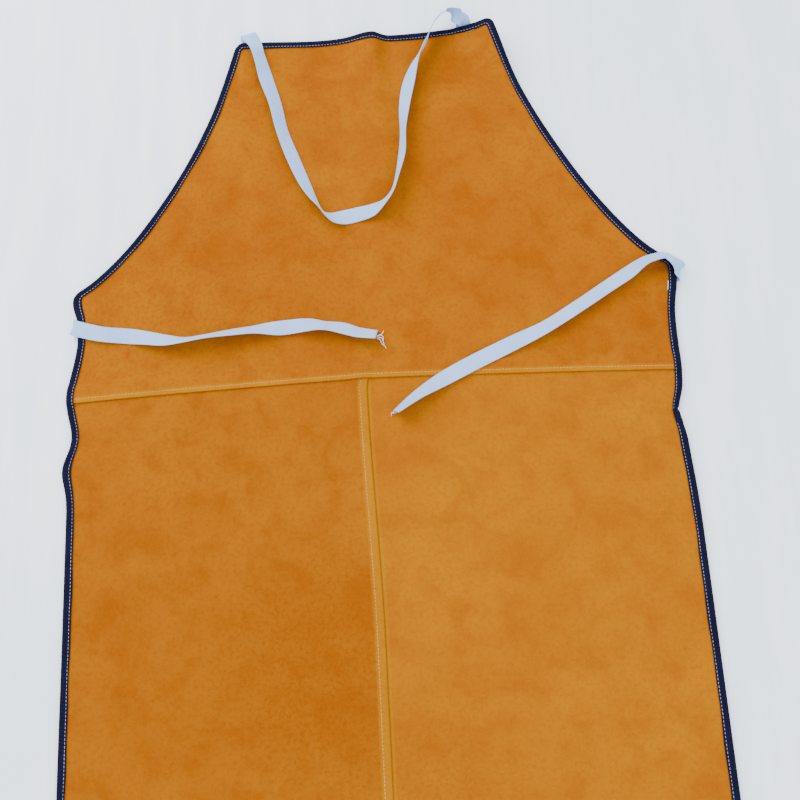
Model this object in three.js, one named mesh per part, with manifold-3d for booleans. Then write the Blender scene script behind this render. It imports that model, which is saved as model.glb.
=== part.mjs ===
// Welding apron of split cowhide: a bib panel sewn over two skirt panels, a tape binding round the
// whole edge, a neck strap and two waist ties of cotton webbing.
// Millimetres. The apron lies front up: +X across it, +Y up towards the bib, +Z out of its front.
// The origin is the middle of the apron's outline, on the surface that it lies on.

import * as THREE from "three";
import { mergeVertices } from "three/addons/utils/BufferGeometryUtils.js";
import Module from "manifold-3d";

const wasm = await Module();
wasm.setup();

// ---- Driving dimensions -------------------------------------------------------------------------

const apronWidth = 600; // across the waist and the skirt, binding included
const apronLength = 900; // top edge to hem
const bibWidth = 274; // across the top edge
const armholeDrop = 288; // top edge down to the waist corners
const armholeReach = 69; // how far the armhole curve's handle stands outside the bib's corner
const armholeRise = 68; // how far that handle stands above the waist corner
const bibCornerRadius = 11;
const waistCornerRadius = 14;
const hemCornerRadius = 24;

const leatherThickness = 1.5;
const lapWidth = 14; // how far one panel lies over the next in a seam
const waistSeamDrop = 398; // top edge down to the bib panel's lower edge
const centreSeamOffset = -6; // the left skirt's inner edge, from the apron's centreline

const bindingTapeThickness = 1;
const bindingWidth = 8; // of the binding on each face
const bindingStitchInset = 6.4; // stitch row, from the apron's edge

const webbingWidth = 16;
const webbingThickness = 0.9;
const sewnEndLength = 45; // webbing sewn to the apron's back
const neckStrapLeftX = -118;
const neckStrapRightX = 114;
const leftTieDrop = 38; // waist corner down to the middle of the left tie's sewn end
const rightTieDrop = 20;

const threadWidth = 0.8;
const threadHeight = 0.3;
const waistStitchInset = 4; // stitch row, from the bib panel's lower edge
const centreStitchInset = 7; // stitch row, from the left skirt's inner edge
const tackLength = 9;
const tackWidth = 1.6;
const tackInset = 1.2; // middle of a bar tack, inwards from the binding

const clearance = 0.3; // between pieces that touch
const armholeSteps = 12;
const cornerSteps = 4;

// ---- Derived places -----------------------------------------------------------------------------

const halfWidth = apronWidth / 2;
const topY = apronLength / 2;
const hemY = -apronLength / 2;
const waistCornerY = topY - armholeDrop;
const waistSeamY = topY - waistSeamDrop;

// Heights of the layers: binding flap, leather, second leather where two panels lap, binding flap.
const leatherBottom = bindingTapeThickness + clearance;
const leatherTop = leatherBottom + leatherThickness;
const lapStep = leatherThickness + clearance;
const lapBottom = leatherBottom + lapStep;
const lapTop = leatherTop + lapStep;
const flapBottom = leatherTop + clearance;
const flapTop = flapBottom + bindingTapeThickness;
const high = lapTop + 10; // above everything that is cut

const bibRiserY = waistSeamY + lapWidth + clearance; // where the bib steps up on to the skirts
const skirtRiserX = centreSeamOffset - lapWidth - clearance; // where the left skirt steps up

// ---- Solids -------------------------------------------------------------------------------------

function solidOf(geometry) {
  const bare = geometry.clone();
  bare.deleteAttribute("normal");
  bare.deleteAttribute("uv");
  const merged = mergeVertices(bare, 1e-4);
  return new wasm.Manifold(
    new wasm.Mesh({
      numProp: 3,
      vertProperties: merged.attributes.position.array,
      triVerts: new Uint32Array(merged.index.array),
    }),
  );
}

function geometryOf(solid) {
  const mesh = solid.getMesh();
  const geometry = new THREE.BufferGeometry();
  geometry.setAttribute("position", new THREE.BufferAttribute(mesh.vertProperties, 3));
  geometry.setIndex(new THREE.BufferAttribute(mesh.triVerts, 1));
  geometry.computeVertexNormals();
  return geometry;
}

function block(x0, x1, y0, y1, z0, z1) {
  const geometry = new THREE.BoxGeometry(x1 - x0, y1 - y0, z1 - z0);
  geometry.translate((x0 + x1) / 2, (y0 + y1) / 2, (z0 + z1) / 2);
  return solidOf(geometry);
}

function slab(points, z0, z1) {
  const shape = new THREE.Shape(points);
  const geometry = new THREE.ExtrudeGeometry(shape, { depth: z1 - z0, bevelEnabled: false });
  geometry.translate(0, 0, z0);
  return solidOf(geometry);
}

// ---- The apron's outline ------------------------------------------------------------------------

// Rounds the corner at b, between a and c, with an arc of the given radius.
function roundedCorner(a, b, c, radius) {
  const back = a.clone().sub(b).normalize();
  const on = c.clone().sub(b).normalize();
  const half = Math.acos(back.dot(on)) / 2;
  const middle = back.clone().add(on).normalize().multiplyScalar(radius / Math.sin(half)).add(b);
  const start = back.multiplyScalar(radius / Math.tan(half)).add(b).sub(middle);
  const turn = Math.PI - 2 * half;
  const points = [];
  for (let i = 0; i <= cornerSteps; i += 1) {
    points.push(start.clone().rotateAround(new THREE.Vector2(), (turn * i) / cornerSteps).add(middle));
  }
  return points;
}

// The whole edge, counter-clockwise from the hem's right corner: one side, then its mirror image.
function edgeOutline() {
  const corner = new THREE.Vector2(halfWidth, waistCornerY);
  const handle = new THREE.Vector2(bibWidth / 2 + armholeReach, waistCornerY + armholeRise);
  const top = new THREE.Vector2(bibWidth / 2, topY);
  const armhole = new THREE.QuadraticBezierCurve(corner, handle, top).getPoints(armholeSteps);
  const inner = armhole.slice(1, -1);
  const mirrored = (points) => points.map((p) => new THREE.Vector2(-p.x, p.y)).reverse();
  const hemCorner = new THREE.Vector2(halfWidth, hemY);
  const right = [
    ...roundedCorner(new THREE.Vector2(0, hemY), hemCorner, corner, hemCornerRadius),
    ...roundedCorner(hemCorner, corner, inner[0], waistCornerRadius),
    ...inner,
    ...roundedCorner(inner[inner.length - 1], top, new THREE.Vector2(0, topY), bibCornerRadius),
  ];
  return [...right, ...mirrored(right)];
}

const edge = edgeOutline();

// The outline moved inwards by the given distance.
function insetOutline(distance) {
  return edge.map((point, i) => {
    const before = edge[(i + edge.length - 1) % edge.length];
    const after = edge[(i + 1) % edge.length];
    const a = point.clone().sub(before).normalize();
    const b = after.clone().sub(point).normalize();
    const inward = new THREE.Vector2(-a.y - b.y, a.x + b.x);
    return inward.multiplyScalar(distance / (1 + a.dot(b))).add(point);
  });
}

const insideEdge = (distance, z0, z1) => slab(insetOutline(distance), z0, z1);

// A band that follows the edge between two insets.
function edgeBand(outer, inner, z0, z1) {
  return insideEdge(outer, z0, z1).subtract(insideEdge(inner, z0 - 1, z1 + 1));
}

// Everything below the binding's surface, which steps up where two panels lap, less a depth.
function underBinding(top, margin) {
  const level = block(-apronWidth, apronWidth, -apronLength, apronLength, -high, top);
  const waistStep = block(
    -apronWidth,
    apronWidth,
    waistSeamY - margin,
    bibRiserY + leatherThickness + margin,
    -high,
    top + lapStep,
  );
  const hemStep = block(
    skirtRiserX - leatherThickness - margin,
    centreSeamOffset + margin,
    -apronLength,
    waistSeamY,
    -high,
    top + lapStep,
  );
  return level.add(waistStep).add(hemStep);
}

// ---- Leather panels -----------------------------------------------------------------------------

const panelInset = bindingTapeThickness + clearance;
const far = apronWidth + apronLength;

function bibPanel() {
  return insideEdge(panelInset, leatherBottom, lapTop)
    .subtract(block(-far, far, -far, waistSeamY, -high, high))
    .subtract(block(-far, far, -far, bibRiserY, -high, lapBottom))
    .subtract(block(-far, far, bibRiserY + leatherThickness, far, leatherTop, high));
}

function leftSkirtPanel() {
  return insideEdge(panelInset, leatherBottom, lapTop)
    .subtract(block(-far, far, waistSeamY + lapWidth, far, -high, high))
    .subtract(block(centreSeamOffset, far, -far, far, -high, high))
    .subtract(block(-far, far, waistSeamY - clearance, far, leatherTop, high))
    .subtract(block(-far, skirtRiserX - leatherThickness, -far, far, leatherTop, high))
    .subtract(block(skirtRiserX, far, -far, far, -high, lapBottom));
}

function rightSkirtPanel() {
  return insideEdge(panelInset, leatherBottom, leatherTop)
    .subtract(block(-far, far, waistSeamY + lapWidth, far, -high, high))
    .subtract(block(-far, centreSeamOffset - lapWidth, -far, far, -high, high));
}

// ---- Binding and its stitching ------------------------------------------------------------------

const tieY = { left: waistCornerY - leftTieDrop, right: waistCornerY - rightTieDrop };

// The binding's back flap is open where the webbing passes under it.
function webbingPassages() {
  const half = webbingWidth / 2 + clearance;
  const inner = bindingWidth + 2;
  const top = webbingThickness + clearance;
  return [
    block(neckStrapLeftX - half, neckStrapLeftX + half, topY - inner, topY + inner, -1, top),
    block(neckStrapRightX - half, neckStrapRightX + half, topY - inner, topY + inner, -1, top),
    block(-halfWidth - inner, -halfWidth + inner, tieY.left - half, tieY.left + half, -1, top),
    block(halfWidth - inner, halfWidth + inner, tieY.right - half, tieY.right + half, -1, top),
  ];
}

function edgeBinding() {
  const lapMargin = clearance + bindingTapeThickness;
  const tape = insideEdge(0, 0, high).intersect(underBinding(flapTop, lapMargin));
  const leatherSlot = insideEdge(bindingTapeThickness, bindingTapeThickness, high);
  const groove = edgeBand(
    bindingStitchInset - threadWidth / 2 - clearance,
    bindingStitchInset + threadWidth / 2 + clearance,
    0,
    high,
  );
  const grooveDepth = threadHeight + clearance;
  const uncut = tape
    .subtract(insideEdge(bindingWidth, -1, high + 1))
    .subtract(leatherSlot.intersect(underBinding(flapBottom, clearance)))
    .subtract(groove.subtract(underBinding(flapTop - grooveDepth, lapMargin - grooveDepth)));
  return webbingPassages().reduce((made, passage) => made.subtract(passage), uncut);
}

function bindingStitching() {
  const lapMargin = clearance + bindingTapeThickness;
  return edgeBand(
    bindingStitchInset - threadWidth / 2,
    bindingStitchInset + threadWidth / 2,
    0,
    high,
  )
    .intersect(underBinding(flapTop, lapMargin))
    .subtract(underBinding(flapTop - threadHeight, lapMargin - threadHeight));
}

// ---- Seam stitching and bar tacks ---------------------------------------------------------------

const stitchEndX = halfWidth - bindingWidth - 1;
const waistStitchY = waistSeamY + waistStitchInset;
const centreStitchX = centreSeamOffset - centreStitchInset;
const backThreadTop = leatherBottom - clearance;

function threadBlock(x0, x1, y0, y1, bottom) {
  return block(x0, x1, y0, y1, bottom, bottom + threadHeight);
}

function waistThread(bottom) {
  const half = threadWidth / 2;
  return threadBlock(-stitchEndX, stitchEndX, waistStitchY - half, waistStitchY + half, bottom);
}

function centreThread(bottom) {
  const half = threadWidth / 2;
  const start = hemY + bindingWidth + 1;
  const end = waistSeamY - 1;
  return threadBlock(centreStitchX - half, centreStitchX + half, start, end, bottom);
}

function barTack(x, y, width, length) {
  const bottom = leatherTop + clearance;
  return threadBlock(x - width / 2, x + width / 2, y - length / 2, y + length / 2, bottom);
}

// ---- Webbing ------------------------------------------------------------------------------------

// A sewn end lies on the apron's back, out to the edge; drawn along +Y, with the edge at edgeY.
function sewnEnd(edgeY) {
  const geometry = new THREE.BoxGeometry(webbingWidth, sewnEndLength + clearance, webbingThickness);
  geometry.translate(0, edgeY + (clearance - sewnEndLength) / 2, webbingThickness / 2);
  return geometry;
}

// The level directions across a tape, one for each of its directions along, counted outwards from
// the middle of the tape. Where the tape stands almost upright, it faces the edge squarely.
function levelsAcross(alongs, edgeDirection) {
  const uprightShare = 0.5;
  const levels = [];
  const set = (i, neighbour) => {
    const level = new THREE.Vector3(alongs[i].y, -alongs[i].x, 0);
    if (level.length() < uprightShare) level.copy(edgeDirection);
    if (neighbour !== undefined && level.dot(levels[neighbour]) < 0) level.negate();
    levels[i] = level.normalize();
  };
  const middle = Math.floor(alongs.length / 2);
  set(middle);
  for (let i = middle + 1; i < alongs.length; i += 1) set(i, i - 1);
  for (let i = middle - 1; i >= 0; i -= 1) set(i, i + 1);
  return levels;
}

// A flat tape along a route of [x, y, rise, tilt], from a place on the edge: the rise is that of the
// tape's lower side above the leather, and the tilt, in degrees, turns it about its own length.
function webbing(route, edgeDirection) {
  const spline = (points) => new THREE.CatmullRomCurve3(points, false, "catmullrom", 0.5);
  const path = spline(
    route.map(([x, y, rise, tilt]) => {
      const turn = THREE.MathUtils.degToRad(tilt);
      const reach = webbingWidth * Math.abs(Math.sin(turn)) + webbingThickness * Math.abs(Math.cos(turn));
      return new THREE.Vector3(x, y, leatherTop + rise + reach / 2);
    }),
  );
  const tilts = spline(route.map(([, , , tilt]) => new THREE.Vector3(THREE.MathUtils.degToRad(tilt))));
  const steps = 2 * (route.length - 1);
  const places = Array.from({ length: steps + 1 }, (_, i) => i / steps);
  const alongs = places.map((place) => path.getTangent(place));
  const levels = levelsAcross(alongs, edgeDirection);
  const corners = [];
  places.forEach((place, i) => {
    const middle = path.getPoint(place);
    const across = levels[i].clone().applyAxisAngle(alongs[i], tilts.getPoint(place).x);
    const up = across.clone().cross(alongs[i]);
    for (const [w, t] of [[-1, -1], [1, -1], [1, 1], [-1, 1]]) {
      corners.push(
        middle
          .clone()
          .addScaledVector(across, (w * webbingWidth) / 2)
          .addScaledVector(up, (t * webbingThickness) / 2),
      );
    }
  });
  const faces = [0, 1, 2, 0, 2, 3];
  for (let i = 0; i < steps; i += 1) {
    for (let side = 0; side < 4; side += 1) {
      const a = 4 * i + side;
      const b = 4 * i + ((side + 1) % 4);
      faces.push(a, a + 4, b + 4, a, b + 4, b);
    }
  }
  const last = 4 * steps;
  faces.push(last, last + 2, last + 1, last, last + 3, last + 2);
  const geometry = new THREE.BufferGeometry().setFromPoints(corners);
  geometry.setIndex(faces);
  geometry.computeVertexNormals();
  return geometry;
}

// Each route starts beside its sewn end, turns up round the edge and lies on the apron's front. The
// neck strap's is counted from the middle of the top edge, a tie's from its place on the side edge.
const neckStrapRoute = [
  [-118, 1.05, -2.8, 0],
  [-118, 1.3, 0.4, 0],
  [-118, 1.2, 3.2, 0],
  [-118, -1.2, 4.6, 0],
  [-117, -5, 4.2, 0],
  [-114, -11, 3.2, 0],
  [-110, -20, 2, 0],
  [-102, -49, 0.8, 0],
  [-93, -81, 0.8, 0],
  [-86, -113, 0.8, 0],
  [-76, -143, 0.8, -4],
  [-65, -174, 0.8, -16],
  [-56, -194, 0.8, -42],
  [-48, -207, 1, -72],
  [-41, -215, 1, -48],
  [-34, -219, 0.8, -22],
  [-24, -221, 0.8, -6],
  [-11, -219, 0.8, -4],
  [6, -214, 0.8, -10],
  [18, -206, 0.8, -26],
  [27, -193, 1, -46],
  [34, -177, 1.2, -58],
  [39, -150, 1.2, -64],
  [41, -121, 1.2, -64],
  [45, -90, 1.2, -60],
  [52, -59, 1.4, -56],
  [61, -29, 2.2, -64],
  [71, -10, 4.4, -76],
  [82, 2, 7.4, -88],
  [94, 8, 8.4, -104],
  [104, 10.5, 7, -130],
  [110.5, 9, 6, -156],
  [113.6, 5.4, 4.6, -174],
  [114, 2.4, 2.6, -180],
  [114, 1.3, 0.2, -180],
  [114, 1.05, -2.8, -180],
];

const leftTieRoute = [
  [-1.05, 0, -2.8, 0],
  [-1.3, 0, 0.2, 0],
  [-0.9, 0, 2.4, 0],
  [1.5, 0, 3, 0],
  [6, -0.8, 2.6, 0],
  [16, -3, 1.8, 0],
  [32, -6, 0.8, 0],
  [56, -10, 0.8, 4],
  [72, -13, 0.8, 16],
  [92, -16, 0.8, 46],
  [110, -17, 1, 62],
  [132, -13, 0.9, 30],
  [158, -11, 0.8, 8],
  [182, -9, 0.8, 0],
  [208, -9, 0.8, 4],
  [233, -10, 0.9, 26],
  [251, -12, 1, 54],
  [269, -14, 0.9, 24],
  [284, -18, 0.8, 6],
  [303, -21, 0.8, 0],
];

const rightTieRoute = [
  [1.05, 0, -2.8, 0],
  [1.4, 0, 0.4, 0],
  [1.8, 1, 3.4, 0],
  [1, 5, 6.4, 0],
  [-3, 11, 8, -8],
  [-11, 16, 7.4, -22],
  [-22, 16, 4.4, -32],
  [-39, 9, 1.4, -28],
  [-62, -4, 0.8, -32],
  [-91, -21, 0.8, -34],
  [-128, -42, 0.8, -28],
  [-163, -56, 1.2, -14],
  [-201, -74, 2.8, -8],
  [-231, -89, 3.2, -4],
  [-254, -100, 3, 0],
  [-268, -109, 1.4, 0],
  [-282, -120, 0.8, 0],
];

// ---- Assembly -----------------------------------------------------------------------------------

const suede = (color) => new THREE.MeshStandardMaterial({ color, roughness: 0.95, metalness: 0 });
const fabric = (color) => new THREE.MeshStandardMaterial({ color, roughness: 0.85, metalness: 0 });
const materials = {
  bib: suede(0xcb7c12),
  leftSkirt: suede(0xb96d0e),
  rightSkirt: suede(0xc67812),
  binding: fabric(0x11123a),
  webbing: fabric(0xb9c8e6),
  whiteThread: fabric(0xc9c9e4),
  goldThread: fabric(0xd9a33a),
};

const apron = new THREE.Group();
apron.name = "welding_apron";

function addMesh(name, geometry, material) {
  const mesh = new THREE.Mesh(geometry, material);
  mesh.name = name;
  apron.add(mesh);
  return mesh;
}

const addSolid = (name, solid, material) => addMesh(name, geometryOf(solid), material);

function addSewnEnd(name, x, y, turn, edgeDistance) {
  const mesh = addMesh(name, sewnEnd(edgeDistance), materials.webbing);
  mesh.rotation.z = turn;
  mesh.position.set(x, y, 0);
  return mesh;
}

addSolid("bib_panel", bibPanel(), materials.bib);
addSolid("left_skirt_panel", leftSkirtPanel(), materials.leftSkirt);
addSolid("right_skirt_panel", rightSkirtPanel(), materials.rightSkirt);
addSolid("edge_binding", edgeBinding(), materials.binding);
addSolid("binding_stitching", bindingStitching(), materials.whiteThread);

addSolid("waist_seam_front_thread", waistThread(lapTop + clearance), materials.goldThread);
addSolid("waist_seam_back_thread", waistThread(backThreadTop - threadHeight), materials.goldThread);
addSolid("centre_seam_front_thread", centreThread(lapTop + clearance), materials.goldThread);
addSolid("centre_seam_back_thread", centreThread(backThreadTop - threadHeight), materials.goldThread);

const tackY = topY - bindingWidth - tackInset;
const tackX = halfWidth - bindingWidth - tackInset;
const neckTack = (x) => barTack(x, tackY, tackLength, tackWidth);
const tieTack = (x, y) => barTack(x, y, tackWidth, tackLength);
addSolid("neck_strap_left_tack", neckTack(neckStrapLeftX), materials.goldThread);
addSolid("neck_strap_right_tack", neckTack(neckStrapRightX), materials.goldThread);
addSolid("left_tie_tack", tieTack(-tackX, tieY.left), materials.whiteThread);
addSolid("right_tie_tack", tieTack(tackX, tieY.right), materials.whiteThread);

addSewnEnd("neck_strap_left_sewn_end", neckStrapLeftX, 0, 0, topY);
addSewnEnd("neck_strap_right_sewn_end", neckStrapRightX, 0, 0, topY);
addSewnEnd("left_tie_sewn_end", 0, tieY.left, Math.PI / 2, halfWidth);
addSewnEnd("right_tie_sewn_end", 0, tieY.right, -Math.PI / 2, halfWidth);

const topEdge = new THREE.Vector3(1, 0, 0);
const sideEdge = new THREE.Vector3(0, 1, 0);
const neckStrap = webbing(neckStrapRoute, topEdge);
const leftTie = webbing(leftTieRoute, sideEdge);
const rightTie = webbing(rightTieRoute, sideEdge);
addMesh("neck_strap", neckStrap, materials.webbing).position.y = topY;
addMesh("left_waist_tie", leftTie, materials.webbing).position.set(-halfWidth, tieY.left, 0);
addMesh("right_waist_tie", rightTie, materials.webbing).position.set(halfWidth, tieY.right, 0);

export default apron;
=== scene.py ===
# Welding apron of split cowhide, laid front up on a pale floor. Metres, in the frame of the packed
# model: +X across the apron, +Y up it towards the bib, +Z out of its front.
import math

import bpy
import numpy as np
from mathutils import Matrix, Vector


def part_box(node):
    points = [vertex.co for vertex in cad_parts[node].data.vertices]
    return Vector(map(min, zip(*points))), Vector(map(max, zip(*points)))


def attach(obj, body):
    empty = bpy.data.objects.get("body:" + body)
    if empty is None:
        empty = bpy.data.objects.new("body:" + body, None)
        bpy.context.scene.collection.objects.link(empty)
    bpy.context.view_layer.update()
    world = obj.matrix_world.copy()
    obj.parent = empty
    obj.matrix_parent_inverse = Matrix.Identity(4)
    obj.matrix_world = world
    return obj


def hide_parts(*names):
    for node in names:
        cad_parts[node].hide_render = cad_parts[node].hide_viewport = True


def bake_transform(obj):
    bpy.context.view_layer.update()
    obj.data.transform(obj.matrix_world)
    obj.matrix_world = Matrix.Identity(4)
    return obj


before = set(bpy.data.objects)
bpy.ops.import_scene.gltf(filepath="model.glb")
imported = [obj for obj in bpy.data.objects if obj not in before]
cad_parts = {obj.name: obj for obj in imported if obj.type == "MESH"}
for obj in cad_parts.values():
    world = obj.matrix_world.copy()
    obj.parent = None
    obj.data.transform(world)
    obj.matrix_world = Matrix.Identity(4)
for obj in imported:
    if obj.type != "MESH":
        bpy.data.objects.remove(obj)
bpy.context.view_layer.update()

MM = 0.001

# ---- Camera -------------------------------------------------------------------------------------
# It looks down on the bib and the upper skirt from below the waist, so that the hem is out of view.

camera_place = Vector((22.6, -228.6, 942)) * MM
camera_tilt = math.radians(15.54)
camera_roll = math.radians(-3.26)


def new_object(name, data):
    made = bpy.data.objects.new(name, data)
    bpy.context.scene.collection.objects.link(made)
    return made


lens = bpy.data.cameras.new("camera")
lens.lens = 45
lens.sensor_width = 36
camera = new_object("camera", lens)
camera.matrix_world = (
    Matrix.Translation(camera_place)
    @ Matrix.Rotation(camera_tilt, 4, "X")
    @ Matrix.Rotation(camera_roll, 4, "Z")
)
bpy.context.scene.camera = camera

# ---- How the apron lies -------------------------------------------------------------------------
# Split cowhide is limp but not flat: the bib's top edge stands up in three places, a crease runs
# down from the middle one, and the side edges are pulled in and out where the layers are stiff.

top_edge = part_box("edge_binding")[1].y
half_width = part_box("edge_binding")[1].x
leather_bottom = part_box("right_skirt_panel")[0].z
leather_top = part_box("right_skirt_panel")[1].z
waist_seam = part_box("bib_panel")[0].y
lap_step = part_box("bib_panel")[1].z - leather_top
centre_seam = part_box("left_skirt_panel")[1].x
lap_width = centre_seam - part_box("right_skirt_panel")[0].x


def smoothstep(value, start, end):
    t = np.clip((value - start) / (end - start), 0, 1)
    return t * t * (3 - 2 * t)


def swell(distance, reach):
    return np.exp(-0.5 * (distance / reach) ** 2)


# The flat apron's top edge and side edges, in millimetres.
flat_top, flat_side = 450, 300

# Pulls on the side edges: middle x and y, sideways shift and reach, in millimetres.
edge_pulls = [
    (-300, 152, -5.5, 12),
    (-300, 122, 6, 26),
    (-300, 58, -4, 17),
    (-300, 14, 3, 15),
    (-300, -18, -6, 15),
    (302, 158, 4, 18),
    (300, 136, 3.2, 16),
    (300, 10, -6, 13),
    (300, -16, -3, 34),
]

# Folded-in creases of the leather: two ends, width and height, in millimetres.
soft_creases = [
    ((-213, 211), (-25, 181), 9, 0.7),
    ((109, -100), (212, -105), 8, 0.7),
    ((-234, -108), (-233, -145), 6, 0.8),
    ((255, -60), (262, -210), 14, 0.8),
    ((-120, 330), (-196, 250), 16, 0.8),
    ((150, 300), (196, 214), 16, 0.7),
    ((60, 246), (170, 160), 18, 0.6),
    ((222, 4), (284, -20), 6, 0.8),
    ((228, -36), (288, -6), 7, 0.7),
    ((262, 24), (286, -44), 6, 0.8),
]

# Long shallow waves: direction in degrees, wavelength, height and phase, in millimetres.
leather_waves = [
    (12, 236, 0.45, 0.3),
    (71, 171, 0.40, 1.9),
    (128, 143, 0.30, 4.1),
    (97, 96, 0.20, 2.6),
    (37, 77, 0.15, 5.0),
    (158, 61, 0.10, 0.8),
]


def shift(x, y):
    """How far a point of the flat apron moves in its own plane, in millimetres."""
    across = 6 * smoothstep(y, 110, 230)
    for middle_x, middle_y, pull, reach in edge_pulls:
        across = across + pull * swell(np.hypot(x - middle_x, y - middle_y), reach)
    along = (-8.7 + 0.0376 * x) * smoothstep(y, 190, 452)
    seam_bow = 4 - 9 * (np.abs(x) / flat_side) ** 1.3
    along = along + seam_bow * swell(y - waist_seam / MM, 44)
    skirt = 1 - smoothstep(y, 40, 62)
    near_centre = swell(x - centre_seam / MM, 60)
    across = across + near_centre * skirt * (-3 + 6 * smoothstep(-y, -50, 200))
    return across, along


def crease_height(x, y, start, end, width, height):
    run = np.subtract(end, start)
    length = np.hypot(*run)
    share = ((x - start[0]) * run[0] + (y - start[1]) * run[1]) / length**2
    aside = ((x - start[0]) * run[1] - (y - start[1]) * run[0]) / length
    inside = smoothstep(share, -0.15, 0.25) * smoothstep(1.15 - share, 0, 0.4)
    return height * inside * swell(aside, width)


# The webbing's sewn ends lie between the apron's back and the floor, and raise it. Where they are
# on the flat apron: x and y at the edge and the way inwards, in millimetres.
webbing_humps = [
    (-124, 450, 0, -1),
    (108, 450, 0, -1),
    (-300, 124, 1, 0),
    (300, 142, -1, 0),
]
hump_height = 1.2


def hump(x, y):
    height = 0
    for edge_x, edge_y, inwards_x, inwards_y in webbing_humps:
        inset = (x - edge_x) * inwards_x + (y - edge_y) * inwards_y
        aside = np.abs((x - edge_x) * inwards_y - (y - edge_y) * inwards_x)
        height = height + (1 - smoothstep(aside, 8, 14)) * (1 - smoothstep(inset, 46, 56))
    return hump_height * height


def lift(x, y):
    """How high a point of the flat apron stands above its flat place, in millimetres."""
    down = flat_top - y
    left_corner = 8.6 * swell(x + 131, 38) * (1 - smoothstep(down, 0, 96))
    right_corner = 17 * swell(x - 140, 17) * (1 - smoothstep(down, 2, 84))
    right_corner = right_corner + 1.5 * swell(x - 96, 22) * (1 - smoothstep(down, 0, 70))
    crest = 8 + 6 * smoothstep(down, 60, 260)
    aside = x - crest
    flank = np.where(aside < 0, 16, 8) + 3 * smoothstep(down, 0, 120)
    fold_height = 10 * (1 - smoothstep(down, 0, 90)) + 3.6 * smoothstep(down, 10, 90)
    fold_height = fold_height * (1 - 0.7 * smoothstep(down, 150, 300))
    fold_height = fold_height * (1 - smoothstep(down, 280, 400))
    fold = fold_height * swell(aside, flank)
    waves = 1.5
    for degrees, wavelength, height, phase in leather_waves:
        angle = math.radians(degrees)
        along = x * math.cos(angle) + y * math.sin(angle)
        waves = waves + height * np.sin(2 * math.pi * along / wavelength + phase)
    creases = sum(crease_height(x, y, *crease) for crease in soft_creases)
    edge_calm = 0.45 + 0.55 * smoothstep(flat_side - np.abs(x), 0, 60)
    return left_corner + right_corner + fold + waves * edge_calm + creases + hump(x, y)


def settle(points):
    """Takes points of the flat apron to where they lie."""
    points = np.asarray(points, float)
    x, y = points[..., 0] / MM, points[..., 1] / MM
    across, along = shift(x, y)
    move = np.stack([across, along, lift(x, y)], axis=-1) * MM
    return points + move


def leather_height(x, y):
    """How high the leather's face is at a place where the apron lies."""
    across, along = shift(x / MM, y / MM)
    flat_x, flat_y = x / MM - across, y / MM - along
    on_skirt_lap = smoothstep(flat_y, 50, 52) * (1 - smoothstep(flat_y, 66, 72))
    return leather_top + lift(flat_x, flat_y) * MM + lap_step * on_skirt_lap


# ---- Neck strap and waist ties ------------------------------------------------------------------
# Pale blue cotton webbing, 16 mm wide. Each end is sewn to the back, under the binding, and turns
# up round the edge. The strap is one loop from corner to corner; the ties are cut off bare.

webbing_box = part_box("left_tie_sewn_end")
webbing_width = webbing_box[1].y - webbing_box[0].y
webbing_thickness = webbing_box[1].z - webbing_box[0].z
sewn_length = 45 * MM
sewn_stops = (1.0, 0.7, 0.4, 0.15, 0.01)  # along a sewn end, from its cut to the edge
slant_middle = 0.67  # the stop that stays in its place when a sewn end slants
sight_rounds = 6
tape_step = 1.6 * MM


def sight(route):
    """Lifts a route of [x, y, rise, tilt], marked on the floor as it is seen, to the leather."""
    x, y, rise, tilt = np.array(route, float).T
    x, y, rise = x * MM, y * MM, rise * MM
    turn = np.radians(tilt)
    reach = webbing_width * np.abs(np.sin(turn)) + webbing_thickness * np.abs(np.cos(turn))
    place_x, place_y = x, y
    for _ in range(sight_rounds):
        height = leather_height(place_x, place_y) + rise + reach / 2
        share = height / camera_place.z
        place_x = x + (camera_place.x - x) * share
        place_y = y + (camera_place.y - y) * share
    return np.stack([place_x, place_y, height, turn], axis=-1)


def sewn_route(edge_place, inwards, fold, aside=0.0, slant=0.0):
    """A sewn end that slants sideways, then a fold of [out, along, height, tilt]."""
    outwards = -np.array(inwards, float)
    sideways = np.array([-outwards[1], outwards[0]])
    points = []
    for inset in sewn_stops:
        flat = np.array(edge_place) - outwards * inset * sewn_length
        flat = flat + sideways * (slant_middle - inset) * slant * MM
        lying = settle([flat[0] + aside, flat[1], webbing_thickness / 2])
        under = hump_height * MM
        points.append([lying[0], lying[1], lying[2] - under, math.radians(fold[0][3])])
    edge = settle([edge_place[0] + aside, edge_place[1], -hump_height * MM])
    for out, along, height, tilt in fold:
        x, y = edge[:2] + outwards * out * MM + sideways * along * MM
        points.append([x, y, edge[2] + height * MM, math.radians(tilt)])
    return np.array(points)


def smooth_curve(points, per_step):
    """Catmull-Rom through the points."""
    ends = np.vstack([2 * points[0] - points[1], points, 2 * points[-1] - points[-2]])
    t = (np.arange(per_step) / per_step)[:, None]
    runs = []
    for a, b, c, d in zip(ends, ends[1:], ends[2:], ends[3:]):
        runs.append(
            b
            + t * (c - a) / 2
            + t**2 * (2 * a - 5 * b + 4 * c - d) / 2
            + t**3 * (3 * b - a - 3 * c + d) / 2
        )
    return np.vstack([*runs, points[-1:]])


def evenly(points, spacing):
    """The same line with points an even distance apart."""
    steps = np.linalg.norm(np.diff(points[:, :3], axis=0), axis=1)
    run = np.concatenate([[0], np.cumsum(steps)])
    count = max(2, int(round(run[-1] / spacing)) + 1)
    at = np.linspace(0, run[-1], count)
    return np.stack([np.interp(at, run, column) for column in points.T], axis=-1), at


def unit(vectors):
    return vectors / np.maximum(np.linalg.norm(vectors, axis=-1, keepdims=True), 1e-12)


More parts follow.
